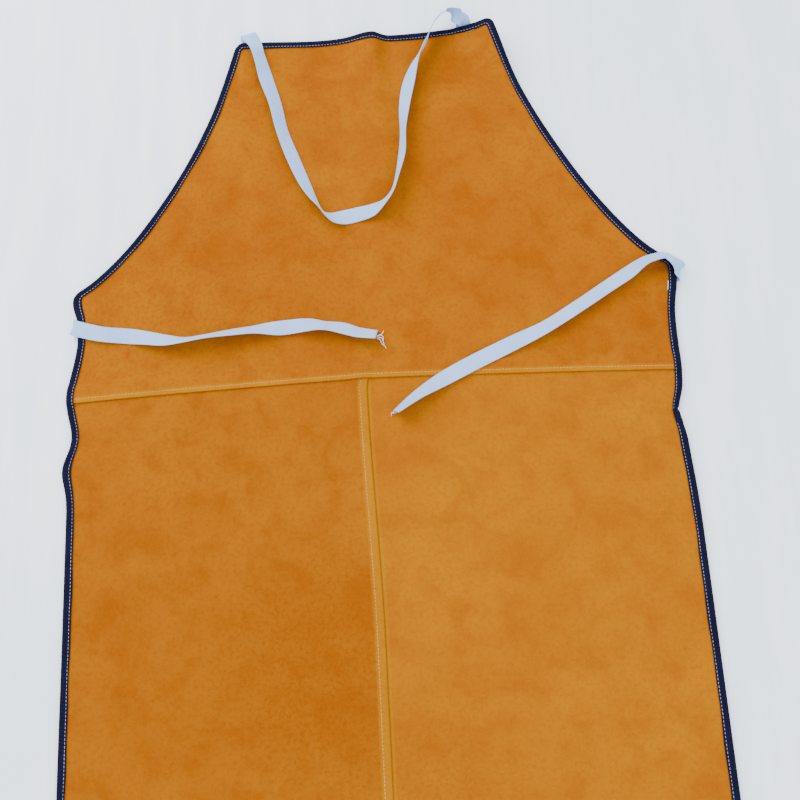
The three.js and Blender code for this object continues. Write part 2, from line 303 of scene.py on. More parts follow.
def blurred(vectors, half):
    padded = np.pad(vectors, ((half, half), (0, 0)), mode="edge")
    kernel = np.hanning(2 * half + 3)[1:-1]
    kernel = kernel / kernel.sum()
    return np.stack([np.convolve(column, kernel, "valid") for column in padded.T], axis=-1)


def new_mesh_piece(name, vertices, faces, uvs=None, smooth=True):
    mesh = bpy.data.meshes.new(name)
    mesh.from_pydata(np.asarray(vertices).tolist(), [], faces)
    if uvs is not None:
        layer = mesh.uv_layers.new(name="UVMap")
        layer.data.foreach_set("uv", np.asarray(uvs, np.float32).ravel())
    mesh.polygons.foreach_set("use_smooth", [smooth] * len(mesh.polygons))
    mesh.update()
    return new_object(name, mesh)


def swept(name, rings, along, around, closed=False):
    """A tube through rings of points, with its length and the way round it as UV coordinates."""
    steps, count = rings.shape[:2]
    faces, uvs = [], []
    along = list(along)
    for i in range(steps if closed else steps - 1):
        j = (i + 1) % steps
        for k in range(count):
            m = (k + 1) % count
            faces.append((i * count + k, i * count + m, j * count + m, j * count + k))
            u0, u1 = along[i], along[i + 1]
            v0, v1 = around[k], around[k + 1]
            uvs += [(u0, v0), (u0, v1), (u1, v1), (u1, v0)]
    if not closed:
        last = (steps - 1) * count
        faces.append(tuple(reversed(range(count))))
        faces.append(tuple(range(last, last + count)))
        uvs += [(along[0], around[k]) for k in reversed(range(count))]
        uvs += [(along[-1], around[k]) for k in range(count)]
    return new_mesh_piece(name, rings.reshape(-1, 3), faces, uvs)


def tape_section(width, thickness):
    """Points round a flat woven tape with soft edges, counter-clockwise seen from its far end."""
    half, edge = width / 2, thickness / 2
    flat = np.array([-0.93, -0.5, 0, 0.5, 0.93]) * half
    right = [(0.985 * half, 0.75 * edge), (half, 0), (0.985 * half, -0.75 * edge)]
    top = [(x, edge) for x in flat]
    bottom = [(x, -edge) for x in flat[::-1]]
    left = [(-x, -y) for x, y in right]
    return np.array(top + right + bottom + left)


def tape(name, points, edge_direction, reference):
    """A tape along [x, y, z, tilt]; its level direction is worked out from the reference on."""
    line, along = evenly(smooth_curve(points, 14), tape_step)
    middle, tilt = line[:, :3], line[:, 3]
    tangent = unit(np.gradient(middle, axis=0))
    flat_tangent = np.stack([tangent[:, 1], -tangent[:, 0], 0 * tangent[:, 0]], axis=-1)
    level_share = np.linalg.norm(flat_tangent, axis=1)
    level = np.zeros_like(middle)
    start = int(reference * (len(middle) - 1))
    level[start] = unit(flat_tangent[start])
    for order in (range(start + 1, len(middle)), range(start - 1, -1, -1)):
        for i in order:
            neighbour = level[i - 1 if i > start else i + 1]
            facing = flat_tangent[i] / max(level_share[i], 1e-9)
            facing = facing * (1 if facing @ neighbour >= 0 else -1)
            sense = 1 if np.dot(edge_direction, neighbour) >= 0 else -1
            square = np.array(edge_direction) * sense
            share = float(smoothstep(level_share[i], 0.15, 0.6))
            level[i] = unit(share * facing + (1 - share) * square)
    level = unit(blurred(level, 4))
    across = unit(level - tangent * np.sum(level * tangent, axis=1)[:, None])
    turned = across * np.cos(tilt)[:, None] + np.cross(tangent, across) * np.sin(tilt)[:, None]
    face = np.cross(turned, tangent)
    section = tape_section(webbing_width, webbing_thickness)
    rings = (
        middle[:, None]
        + turned[:, None] * section[None, :, :1]
        + face[:, None] * section[None, :, 1:]
    )
    around = np.append(section[:, 0] / webbing_width + 0.5, section[0, 0] / webbing_width + 0.5)
    piece = swept(name, rings, along, around)
    return piece, middle, along[-1]


class Amount:
    """A number in a material, on which Python's arithmetic adds Math nodes."""

    def __init__(self, finish, socket):
        self.finish, self.socket = finish, socket

    def worked(self, operation, *values):
        node = self.finish.add("Math", {"operation": operation}, dict(enumerate(values)))
        return Amount(self.finish, node.outputs[0])

    def __add__(self, other):
        return self.worked("ADD", self, other)

    def __sub__(self, other):
        return self.worked("SUBTRACT", self, other)

    def __rsub__(self, other):
        return self.worked("SUBTRACT", other, self)

    def __mul__(self, other):
        return self.worked("MULTIPLY", self, other)

    def __truediv__(self, other):
        return self.worked("DIVIDE", self, other)

    def __pow__(self, other):
        return self.worked("POWER", self, other)

    __radd__ = __add__
    __rmul__ = __mul__

    def sine(self):
        return self.worked("SINE", self)

    def size(self):
        return self.worked("ABSOLUTE", self)

    def ramp(self, start, end):
        """0 below start, 1 above end, smooth between them; start may be the higher of the two."""
        node = self.finish.add(
            "MapRange",
            {"interpolation_type": "SMOOTHSTEP"},
            {"Value": self, "From Min": start, "From Max": end},
        )
        return Amount(self.finish, node.outputs["Result"])


class Finish:
    """A material and the nodes that make it."""

    def __init__(self, name):
        self.material = bpy.data.materials.new(name)
        self.material.use_nodes = True
        self.tree = self.material.node_tree
        self.tree.nodes.clear()

    def add(self, kind, settings=None, sockets=None):
        node = self.tree.nodes.new("ShaderNode" + kind)
        for key, value in (settings or {}).items():
            setattr(node, key, value)
        for key, value in (sockets or {}).items():
            value = getattr(value, "socket", value)
            if isinstance(value, bpy.types.NodeSocket):
                self.tree.links.new(value, node.inputs[key])
            else:
                node.inputs[key].default_value = value
        return node

    def places(self, kind="Object"):
        return self.add("TexCoord").outputs[kind]

    def parts(self, vector):
        node = self.add("SeparateXYZ", None, {"Vector": vector})
        return [Amount(self, socket) for socket in node.outputs]

    def noise(self, vector, scale, detail=3.0, roughness=0.55, distortion=0.0):
        sockets = {
            "Vector": vector,
            "Scale": scale,
            "Detail": detail,
            "Roughness": roughness,
            "Distortion": distortion,
        }
        return Amount(self, self.add("TexNoise", None, sockets).outputs["Fac"])

    def stretched(self, vector, scale, turn=0.0):
        sockets = {"Vector": vector, "Scale": scale, "Rotation": (0, 0, turn)}
        return self.add("Mapping", None, sockets).outputs["Vector"]

    def blend(self, share, first, second, mode="MIX"):
        settings = {"data_type": "RGBA", "blend_type": mode}
        return self.add("Mix", settings, {0: share, 6: first, 7: second}).outputs[2]

    def close(self, color, roughness, height=None, depth=0.0002, strength=1.0, **uniform):
        shader = self.add("BsdfPrincipled", None, {"Base Color": color, "Roughness": roughness})
        for key, value in uniform.items():
            shader.inputs[key.replace("_", " ")].default_value = value
        if height is not None:
            sockets = {"Height": height, "Distance": depth, "Strength": strength}
            bump = self.add("Bump", None, sockets)
            self.tree.links.new(bump.outputs["Normal"], shader.inputs["Normal"])
        self.add("OutputMaterial", None, {"Surface": shader.outputs["BSDF"]})
        return self.material


def linear(red, green, blue):
    """A colour as it is seen, 0 to 255, as the renderer's linear colour."""
    parts = [value / 255 for value in (red, green, blue)]
    return (*((p / 12.92 if p < 0.04045 else ((p + 0.055) / 1.055) ** 2.4) for p in parts), 1)


def webbing_finish():
    finish = Finish("pale_blue_webbing")
    length, across, _ = finish.parts(finish.places("UV"))
    rib_pitch = 1.15 * MM
    warp_count = 22
    rib = (length * (2 * math.pi / rib_pitch)).sine()
    warp = (across * (2 * math.pi * warp_count / 2)).sine()
    weave = rib * warp
    selvedge = (across - 0.5).size().ramp(0.43, 0.5)
    soil = finish.noise(finish.places(), 34, 3, 0.6)
    fuzz = finish.noise(finish.places(), 1700, 2, 0.6)
    pale, dull = linear(150, 180, 226), linear(134, 162, 210)
    color = finish.blend(soil.ramp(0.35, 0.7) * 0.5 + selvedge * 0.25, pale, dull)
    # Painted shade: the weave's grooves are darkened in the colour.
    grooves = (weave * 0.5 + 0.5).ramp(0.0, 0.35)
    color = finish.blend(0.16 * (1 - grooves), color, linear(104, 128, 176))
    height = weave * 0.5 + fuzz * 0.6 + selvedge * 0.8
    return finish.close(color, 0.86, height, 0.00016, 0.7, Sheen_Weight=0.25, Sheen_Roughness=0.5)


webbing_material = webbing_finish()

# Each route follows its solid's closely, from where the tape comes on to the front:
# [x, y, rise, tilt] in millimetres and degrees.
neck_strap_front = [
    [-110.5, 436, 2.4, -38],
    [-106, 419, 1.2, -36],
    [-101, 398, 1, -24],
    [-92.5, 369, 1, -36],
    [-86, 337, 1, -40],
    [-76.5, 307, 0.8, -32],
    [-65, 276, 0.8, -40],
    [-56, 256, 0.8, -60],
    [-48, 243, 1, -76],
    [-41, 236, 1, -54],
    [-34, 232, 0.8, -26],
    [-24, 231.8, 0.8, -2],
    [-11, 234, 0.8, 0],
    [5, 238.3, 0.8, -16],
    [16, 246, 0.8, -50],
    [26, 258, 1, -68],
    [32, 273, 1.2, -73],
    [39, 300, 1.2, -62],
    [42, 329, 1.2, -67],
    [45.5, 360, 1.2, -42],
    [51, 385, 2.2, -34],
    [59.5, 411, 3.4, -60],
    [68, 427, 4.4, -80],
    [74.5, 439, 4.2, -82],
    [79, 451, 5.4, -76],
    [86, 463, 6.8, -66],
    [92.5, 470, 7.6, -58],
    [98.5, 472, 7.6, -58],
    [103.8, 469.5, 7, -94],
    [108.2, 465.5, 6.2, -138],
    [112.2, 461.5, 5.2, -172],
]
left_tie_front = [
    [-281, 121.5, 1.6, 0],
    [-268, 118.5, 0.8, -3],
    [-244, 115.2, 0.8, 0],
    [-228, 112.6, 0.8, -15],
    [-208, 109, 0.8, -31],
    [-190, 108.3, 0.8, -53],
    [-168, 111, 0.8, -57],
    [-142, 113.5, 0.8, -49],
    [-118, 115, 0.8, -41],
    [-92, 115, 0.8, -7],
    [-67, 116.6, 0.8, -17],
    [-49, 115, 0.8, -39],
    [-31, 111.3, 0.8, -29],
    [-16, 106, 0.8, -34],
    [3, 102.5, 0.8, -42],
]
right_tie_front = [
    [283, 167, 4.6, 44],
    [272, 161.4, 2.4, 38],
    [259, 152.5, 1, 24],
    [238, 139.8, 0.8, 25],
    [209, 122, 0.8, 26],
    [172, 100.6, 0.8, 25],
    [137, 85, 0.8, 5],
    [99, 68.2, 0.8, 0],
    [69, 53.7, 0.8, 10],
    [46, 41.3, 0.8, 36],
    [32, 32.2, 0.8, 49],
    [18, 22, 0.8, 62],
]

neck_left_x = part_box("neck_strap_left_sewn_end")[0].x + webbing_width / 2
neck_right_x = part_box("neck_strap_right_sewn_end")[0].x + webbing_width / 2
left_tie_y = webbing_box[0].y + webbing_width / 2
right_tie_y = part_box("right_tie_sewn_end")[0].y + webbing_width / 2

# The bib lies a little to the right of its flat place, and the neck strap's ends don't.
strap_ends_aside = -6 * MM
neck_left = sewn_route(
    (neck_left_x, top_edge),
    (0, -1),
    [
        (2.0, 0.2, 0.9, 0),
        (5.4, 0.2, 1.5, 0),
        (8.2, 0.2, 2.8, 0),
        (9.0, 0.2, 4.6, 0),
        (8.0, -0.2, 6.3, 0),
        (4.4, -2.2, 7.2, -4),
        (-2.0, -6.2, 7.4, -16),
    ],
    strap_ends_aside,
)
neck_right = sewn_route(
    (neck_right_x, top_edge),
    (0, -1),
    [(1.6, 0, 0.9, -180), (3.0, 0, 3.4, -180), (4.6, 0.2, 6.8, -180)],
    strap_ends_aside,
)
left_tie = sewn_route(
    (-half_width, left_tie_y),
    (1, 0),
    [
        (1.6, -4.2, 0.9, 0),
        (4.2, -4.0, 2.4, 0),
        (5.0, -3.4, 4.4, 0),
        (3.4, -2.4, 6.0, 0),
        (-5, 0.6, 6.2, 0),
    ],
    slant=-6.0,
)
right_tie = sewn_route(
    (half_width, right_tie_y),
    (-1, 0),
    [
        (1.6, 6.6, 0.9, 0),
        (3.0, 7.0, 3.4, 0),
        (3.4, 8.2, 6.8, 4),
        (2.0, 11.0, 9.8, 16),
        (-1.6, 15.0, 11.8, 32),
        (-6.5, 19.4, 12.6, 42),
        (-12, 23.2, 12, 45),
    ],
    slant=9.0,
)

strap_routes = {
    "neck_strap_webbing": np.vstack([neck_left, sight(neck_strap_front), neck_right[::-1]]),
    "left_tie_webbing": np.vstack([left_tie, sight(left_tie_front)]),
    "right_tie_webbing": np.vstack([right_tie, sight(right_tie_front)]),
}
across_x, across_y = (1, 0, 0), (0, 1, 0)
strap_pieces = {}
for name, edge_direction, reference in (
    ("neck_strap_webbing", across_x, 0.4),
    ("left_tie_webbing", across_y, 0.7),
    ("right_tie_webbing", across_y, 0.7),
):
    piece, centreline, length = tape(name, strap_routes[name], edge_direction, reference)
    piece.data.materials.append(webbing_material)
    strap_pieces[name] = (piece, centreline, length)

neck_strap, neck_line, neck_length = strap_pieces["neck_strap_webbing"]
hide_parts("neck_strap", "neck_strap_left_sewn_end", "neck_strap_right_sewn_end")
left_webbing, left_line, left_length = strap_pieces["left_tie_webbing"]
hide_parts("left_waist_tie", "left_tie_sewn_end")
right_webbing, right_line, right_length = strap_pieces["right_tie_webbing"]
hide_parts("right_waist_tie", "right_tie_sewn_end")


def thread(points, radius, sides=5):
    """Rings round a thin thread that follows the points, drawn in at both ends."""
    points = np.asarray(points, float)
    tangent = unit(np.gradient(points, axis=0))
    side = unit(np.cross(tangent, [0.13, 0.21, 1.0]))
    up = np.cross(side, tangent)
    angle = 2 * math.pi * np.arange(sides) / sides
    size = np.full(len(points), radius)
    size[[0, -1]] *= 0.4
    cosine, sine = np.cos(angle)[None, :, None], np.sin(angle)[None, :, None]
    spoke = cosine * side[:, None] + sine * up[:, None]
    return points[:, None] + spoke * size[:, None, None]


def thread_piece(name, strands):
    """One mesh of all the strands, each a row of rings."""
    vertices, faces, count = [], [], 0
    for rings in strands:
        steps, sides = rings.shape[:2]
        for i in range(steps - 1):
            for k in range(sides):
                a, b = count + i * sides + k, count + i * sides + (k + 1) % sides
                faces.append((a, a + sides, b + sides, b))
        faces.append(tuple(range(count, count + sides)))
        last = count + (steps - 1) * sides
        faces.append(tuple(reversed(range(last, last + sides))))
        vertices.append(rings.reshape(-1, 3))
        count += steps * sides
    return new_mesh_piece(name, np.vstack(vertices), faces)


def thread_finish(name, fresh, worn, speckle=2600):
    finish = Finish(name)
    places = finish.places()
    twist = finish.noise(finish.stretched(places, (1.0, 1.0, 1.0), 0.8), speckle, 2, 0.6)
    dirt = finish.noise(places, 60, 3, 0.6)
    color = finish.blend(dirt.ramp(0.35, 0.7) * 0.6 + twist.ramp(0.35, 0.65) * 0.4, fresh, worn)
    return finish.close(color, 0.7, twist, 0.00012, 0.8, Sheen_Weight=0.2)


# The ties' cut ends have come undone into loose threads.
white_thread = thread_finish("white_thread", linear(138, 134, 166), linear(88, 86, 124))
loose_thread = thread_finish("loose_thread", linear(214, 200, 214), linear(184, 168, 190))


def frayed(name, body, strands, seed):
    """Strands of [x, y] points on the leather as the camera sees them, in millimetres."""
    shake = np.random.default_rng(seed)
    made = []
    for points in strands:
        marks = np.array(points, float)
        rise = 0.5 + 0.9 * shake.random(len(marks))
        route = sight([[x, y, high, 0] for (x, y), high in zip(marks, rise)])
        line, _ = evenly(smooth_curve(route, 8), 0.9 * MM)
        made.append(thread(line[:, :3], 0.42 * MM))
    piece = thread_piece(name, made)
    piece.data.materials.append(loose_thread)
    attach(piece, body)
    return piece


left_fray = frayed(
    "left_tie_loose_threads",
    "left_tie",
    [
        [(2, 101), (6, 101), (8.5, 103), (10.5, 106)],
        [(3, 99), (7, 99), (9, 96), (10, 91), (12, 87)],
        [(3, 98), (6, 97), (7.5, 93), (9.5, 90)],
        [(3, 100), (6.5, 102), (9.5, 99), (9, 95)],
    ],
    4,
)
right_fray = frayed(
    "right_tie_loose_threads",
    "right_tie",
    [
        [(19, 24), (16, 22), (13.5, 20), (13.5, 17.5)],
        [(20, 22), (16.5, 20.5), (13, 21.5)],
    ],
    7,
)

# Each tape's placement is baked into its mesh. The body and the pair of planes listed with each
# tape, which lie between its sewn end and its free stretch, are not used.
for piece, body, start, end in (
    (neck_strap, "neck_loop", (-0.000011, 0.440037, 0.008918), (0.000011, 0.439963, 0.009971)),
    (left_webbing, "left_tie", (-0.300020, 0.124003, 0.003257), (-0.299980, 0.123997, 0.006358)),
    (right_webbing, "right_tie", (0.300086, 0.141876, 0.005194), (0.299914, 0.142124, 0.008864)),
):
    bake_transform(piece)

# ---- Leather panels -----------------------------------------------------------------------------
# Split cowhide, napped on both faces and dyed golden brown. The bib panel laps over both skirt
# panels and the left skirt over the right one; the edges are left raw and sewn down.

binding_inset = 1.3 * MM
bib_half_width = 137 * MM
armhole_drop = 288 * MM
armhole_handle = (69 * MM, 68 * MM)
hem_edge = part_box("edge_binding")[0].y


def rounded(before, corner, after, radius, steps=14):
    before, corner, after = (np.array(p, float) for p in (before, corner, after))
    back, onwards = unit(before - corner), unit(after - corner)
    half = math.acos(float(back @ onwards)) / 2
    middle = corner + unit(back + onwards) * radius / math.sin(half)
    start = corner + back * radius / math.tan(half) - middle
    turns = np.linspace(0, math.pi - 2 * half, steps)
    c, s = np.cos(turns), np.sin(turns)
    return middle + np.stack([c * start[0] - s * start[1], s * start[0] + c * start[1]], axis=-1)


def apron_edge():
    """The apron's edge, counter-clockwise from the middle of the hem, at even steps."""
    waist = np.array([half_width, top_edge - armhole_drop])
    handle = np.array([bib_half_width + armhole_handle[0], waist[1] + armhole_handle[1]])
    top = np.array([bib_half_width, top_edge])
    t = np.linspace(0.03, 0.965, 60)[:, None]
    armhole = (1 - t) ** 2 * waist + 2 * t * (1 - t) * handle + t**2 * top
    hem = (half_width, hem_edge)
    right = np.vstack([
        [[0, hem_edge]],
        rounded((0, hem_edge), hem, waist, 24 * MM),
        rounded(hem, waist, armhole[0], 14 * MM),
        armhole,
        rounded(armhole[-1], top, (0, top_edge), 11 * MM),
        [[0, top_edge]],
    ])
    left = right[::-1][1:-1] * [-1, 1]
    loop = np.vstack([right, left, right[:1]])
    return evenly(np.column_stack([loop, 0 * loop[:, 0]]), 2.05 * MM)


edge_points, edge_run = apron_edge()
edge_points = edge_points[:-1, :2]
edge_tangent = unit(np.roll(edge_points, -2, axis=0) - np.roll(edge_points, 2, axis=0))
edge_inwards = np.stack([-edge_tangent[:, 1], edge_tangent[:, 0]], axis=-1)


def inset_edge(inset):
    return edge_points + edge_inwards * inset


right_half = inset_edge(binding_inset)
off_ends = (right_half[:, 1] > hem_edge + binding_inset + 0.05 * MM) & (
    right_half[:, 1] < top_edge - binding_inset - 0.05 * MM
)
right_half = right_half[off_ends & (right_half[:, 0] > 0)]
right_half = right_half[np.argsort(right_half[:, 1])]


def half_width_at(y):
    return np.interp(y, right_half[:, 1], right_half[:, 0])


lap_top = waist_seam + lap_width
ramp = 6 * MM


def over_skirts(x, y):
    """How far the bib panel is raised where it laps over one skirt panel, or over two."""
    on_two = smoothstep(x, centre_seam - lap_width - ramp, centre_seam - lap_width)
    on_two = on_two * (1 - smoothstep(x, centre_seam, centre_seam + 5 * MM))
    return lap_step * (1 + on_two) * (1 - smoothstep(y, lap_top, lap_top + ramp))


def over_right_skirt(x, y):
    return lap_step * smoothstep(x, centre_seam - lap_width - ramp, centre_seam - lap_width)


def not_raised(x, y):
    return 0 * x


waist_stitch_inset = 4 * MM
centre_stitch_inset = 7 * MM
stitch_pitch = 3.3 * MM
stitch_dip, stitch_dip_reach = 0.5 * MM, 1.3 * MM


def waist_stitch_dip(x, y):
    row = waist_seam + waist_stitch_inset
    return stitch_dip * swell(y - row, stitch_dip_reach)


def centre_stitch_dip(x, y):
    row = centre_seam - centre_stitch_inset
    return stitch_dip * swell(x - row, stitch_dip_reach) * (y < waist_seam)


def hide(name, rows, left, right, shares, raised, dip):
    """A closed panel of leather between two side lines, as rows across it from the bottom up."""
    y = np.repeat(rows[:, None], len(shares), axis=1)
    x = left[:, None] + (right - left)[:, None] * shares[None, :]
    face = leather_top + raised(x, y) - dip(x, y)
    back = leather_bottom + raised(x, y)
    for edge in (np.s_[0, :], np.s_[-1, :], np.s_[:, 0], np.s_[:, -1]):
        face[edge] -= 0.35 * MM
        back[edge] += 0.2 * MM
    surfaces = [settle(np.stack([x, y, z], axis=-1)) for z in (face, back)]
    vertices = np.vstack([surface.reshape(-1, 3) for surface in surfaces])
    m, n = x.shape
    i, j = np.meshgrid(np.arange(m - 1), np.arange(n - 1), indexing="ij")
    a = (i * n + j).ravel()
    top = np.stack([a, a + 1, a + n + 1, a + n], axis=-1)
    bottom = np.stack([a, a + n, a + n + 1, a + 1], axis=-1) + m * n
    rim = [
        *range(0, n - 1),
        *range(n - 1, m * n - 1, n),
        *range(m * n - 1, (m - 1) * n, -1),
        *range((m - 1) * n, 0, -n),
    ]
    rim = np.array(rim)
    after = np.roll(rim, -1)
    wall = np.stack([rim, rim + m * n, after + m * n, after], axis=-1)
    faces = np.vstack([top, bottom, wall])
    flat = np.tile(np.stack([x, y], axis=-1).reshape(-1, 2), (2, 1))
    return new_mesh_piece(name, vertices, faces.tolist(), flat[faces.ravel()])


def spaced(*stops):
    """Places from the first stop on; the stops are place, spacing, place, spacing, place."""
    places = [stops[0]]
    for spacing, end in zip(stops[1::2], stops[2::2]):
        count = max(1, round(abs(end - places[-1]) / spacing))
        places += list(np.linspace(places[-1], end, count + 1)[1:])
    return np.array(places)


def suede(name, light, middle, dark, shade, seed, seam_axis, seam_from, seam_to):
    """Napped split leather: patches of dye, a nap and pores, and a paler band of painted light
    along a sewn lap and its raw edge.
    """
    finish = Finish(name)
    places = finish.places()
    moved = finish.add("VectorMath", {"operation": "ADD"}, {0: places, 1: (seed, seed * 0.7, 0)})
    moved = moved.outputs["Vector"]
    x, y, _ = finish.parts(places)
    patch = finish.noise(moved, 7.5, 3, 0.5, 0.6)
    mottle = finish.noise(moved, 32, 5, 0.62, 0.4)
    speck = finish.noise(moved, 240, 4, 0.65)
    nap = finish.noise(finish.stretched(moved, (1.0, 0.55, 1.0), 0.5), 900, 3, 0.6)
    pores = finish.noise(moved, 2600, 2, 0.5)
    color = finish.blend(patch.ramp(0.33, 0.68), middle, light)
    color = finish.blend(mottle.ramp(0.38, 0.74) * 0.7, color, dark)
    middle_x, middle_y, reach_x, reach_y, depth = shade
    distance = ((x - middle_x) / reach_x) ** 2 + ((y - middle_y) / reach_y) ** 2
    shaded = depth * (distance + 0.9 * (mottle - 0.5)).ramp(1.1, 0.0)
    grains = speck.ramp(0.42, 0.72)
    color = finish.blend(shaded * (0.45 + 0.75 * grains), color, linear(121, 57, 0))
    color = finish.blend(grains * 0.5, color, dark)
    color = finish.blend(nap.ramp(0.45, 0.8) * 0.45, color, light)
    flat_place = finish.parts(finish.places("UV"))[seam_axis]
    soft = 1.5 * MM
    lap_light_mask = flat_place.ramp(seam_from - soft, seam_from + soft)
    lap_light_mask = lap_light_mask * flat_place.ramp(seam_to + soft, seam_to - soft)
    # Painted light: a paler band along the lap and just past its raw edge, where the step's shadow
    # falls.
    color = finish.blend(lap_light_mask * (0.12 + 0.55 * nap), color, painted_lap_light)
    height = nap * 0.5 + speck * 0.9 + pores * 0.25 + mottle * 1.2
    return finish.close(
        color, 0.94, height, 0.0006, 0.55, Specular_IOR_Level=0.05, Sheen_Weight=0.0
    )


# Painted light: the paler tone laid along each lap to lift the shade at its raw edge.
painted_lap_light = linear(169, 115, 2)

# Name, three dye tones, the dark patch, the seed, and the axis and ends of the painted light band
# along the lap.
suedes = (
    ("bib_suede", ((153, 89, 0), (146, 78, 0), (132, 61, 0)),
     (-0.16, 0.16, 0.2, 0.12, 0.25), 0.0, 1, waist_seam, waist_seam + 6 * MM),
    ("left_skirt_suede", ((149, 85, 0), (143, 77, 0), (129, 61, 0)),
     (-0.05, -0.22, 0.13, 0.13, 0.45), 3.1, 0, centre_seam - 9.5 * MM, centre_seam),
    ("right_skirt_suede", ((157, 94, 0), (152, 86, 0), (139, 70, 0)),
     (0.03, -0.34, 0.1, 0.1, 0.3), 7.7, 0, centre_seam, centre_seam + 3 * MM),
)
bib_suede, left_suede, right_suede = [
    suede(name, *(linear(*tone) for tone in tones), *rest) for name, tones, *rest in suedes
]

bib_top = top_edge - binding_inset
bib_rows = spaced(
    waist_seam, 0.9 * MM, lap_top + ramp, 3.2 * MM, bib_top - 14 * MM, 1.4 * MM, bib_top
)
bib_shares = spaced(0.0, 1 / 196, 1.0)
bib_sides = half_width_at(bib_rows)
bib = hide(
    "bib_leather", bib_rows, -bib_sides, bib_sides, bib_shares, over_skirts, waist_stitch_dip
)

skirt_bottom = hem_edge + binding_inset
skirt_rows = spaced(
    skirt_bottom, 2 * MM, skirt_bottom + 26 * MM, 3.6 * MM, waist_seam - 6 * MM, 2 * MM, lap_top
)
skirt_sides = half_width_at(skirt_rows)
left_width = half_width - binding_inset + centre_seam
left_shares = spaced(0.0, 3.4 * MM, left_width - 24 * MM, 0.9 * MM, left_width) / left_width
left_skirt = hide(
    "left_skirt_leather",
    skirt_rows,
    -skirt_sides,
    np.full(len(skirt_rows), centre_seam),
    left_shares,
    over_right_skirt,
    centre_stitch_dip,
)
right_shares = spaced(0.0, 1 / 92, 1.0)
right_skirt = hide(
    "right_skirt_leather",
    skirt_rows,
    np.full(len(skirt_rows), centre_seam - lap_width),
    skirt_sides,
    right_shares,
    not_raised,
    not_raised,
)

bib_widths = bib_sides[1:] + bib_sides[:-1]
bib_area = float(np.sum(bib_widths * np.diff(bib_rows)))
for piece, node, material, slot, area in (
    (bib, "bib_panel", bib_suede, "bib_suede", bib_area),
    (left_skirt, "left_skirt_panel", left_suede, "skirt_suede", None),
    (right_skirt, "right_skirt_panel", right_suede, "skirt_suede", None),
):
    piece.data.materials.append(material)
    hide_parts(node)
    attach(piece, "apron")

# ---- Edge binding -------------------------------------------------------------------------------
# One navy woven tape folded in half over the whole edge and sewn through with one row of stitches.
# It starts and ends on the right side, below the waist, where its cut end laps over its start.

binding_inner = 8.0
stitch_inset = 6.4

# The folded tape's section: distance in from the edge, height and share of the front, millimetres.
binding_section = [
    (7.9, 3.92, 1), (7.55, 4.14, 1), (7.05, 4.12, 1), (6.7, 3.96, 1), (6.4, 3.84, 1),
    (6.05, 3.98, 1), (5.6, 4.2, 1), (4.4, 4.32, 1), (3.0, 4.32, 1), (1.7, 4.14, 1),
    (0.7, 3.66, 0.9), (0.15, 2.95, 0.7), (0.0, 2.1, 0.5), (0.15, 1.2, 0.3), (0.7, 0.45, 0.1),
    (1.7, 0.08, 0), (3.2, 0.0, 0), (5.4, 0.0, 0), (6.4, 0.14, 0), (7.3, 0.0, 0),
    (7.85, 0.12, 0), (8.0, 0.5, 0), (7.85, 0.95, 0), (6.4, 1.02, 0), (3.0, 1.02, 0),
    (1.3, 1.1, 0), (1.02, 1.4, 0), (1.02, 2.75, 1), (1.3, 3.02, 1), (3.0, 3.1, 1),
    (6.4, 3.1, 1), (7.8, 3.12, 1), (8.0, 3.5, 1),
]


def under_binding(x, y):
    """How far the binding's front is raised where it passes over two layers of leather."""
    side = smoothstep(y, waist_seam - 4 * MM, waist_seam)
    side = side * (1 - smoothstep(y, lap_top, lap_top + ramp))
    start = centre_seam - lap_width
    hem = smoothstep(x, start - ramp, start)
    hem = hem * (1 - smoothstep(x, centre_seam, centre_seam + 4 * MM))
    return lap_step * np.maximum(side * (np.abs(x) > 0.2), hem * (y < 0))


def binding_wander(run):
    """How far the binding's inner edge wanders, in millimetres."""
    wander = 0.28 * np.sin(run / 0.021) + 0.22 * np.sin(run / 0.0087 + 1.3)
    return wander + 0.16 * np.sin(run / 0.047)


def binding_puff(run):
    return 0.16 * np.sin(run / 0.0131 + 0.6) + 0.12 * np.sin(run / 0.0052)


joint_y = 8 * MM
joint_index = np.argmin(np.hypot(edge_points[:, 0] - half_width, edge_points[:, 1] - joint_y))
past_joint = edge_run[:-1] - edge_run[joint_index]
lapped = smoothstep(past_joint, -15 * MM, -11 * MM) * (past_joint <= 0)
notch = swell(past_joint - 2 * MM, 1.3 * MM)


def binding_rings():
    run = edge_run[:-1]
    section = np.array(binding_section)
    wander, puff = binding_wander(run), binding_puff(run)
    rings = np.zeros((len(run), len(section), 3))
    for k, (inset, height, front) in enumerate(section):
        outer = 1 - smoothstep(inset, 2, 5)
        inward = inset + wander * smoothstep(inset, 4, 8) + (1.5 * notch - 0.5 * lapped) * outer
        place = edge_points + edge_inwards * (inward * MM)[:, None]
        middle = swell(inset - 3.6, 1.8) * (1 if front == 1 and height > 3.5 else 0)
        rise = (under_binding(edge_points[:, 0], edge_points[:, 1]) + 0.7 * MM * lapped) * front
        rings[:, k, :2] = place
        rings[:, k, 2] = (height + puff * middle) * MM + rise
    return settle(rings)


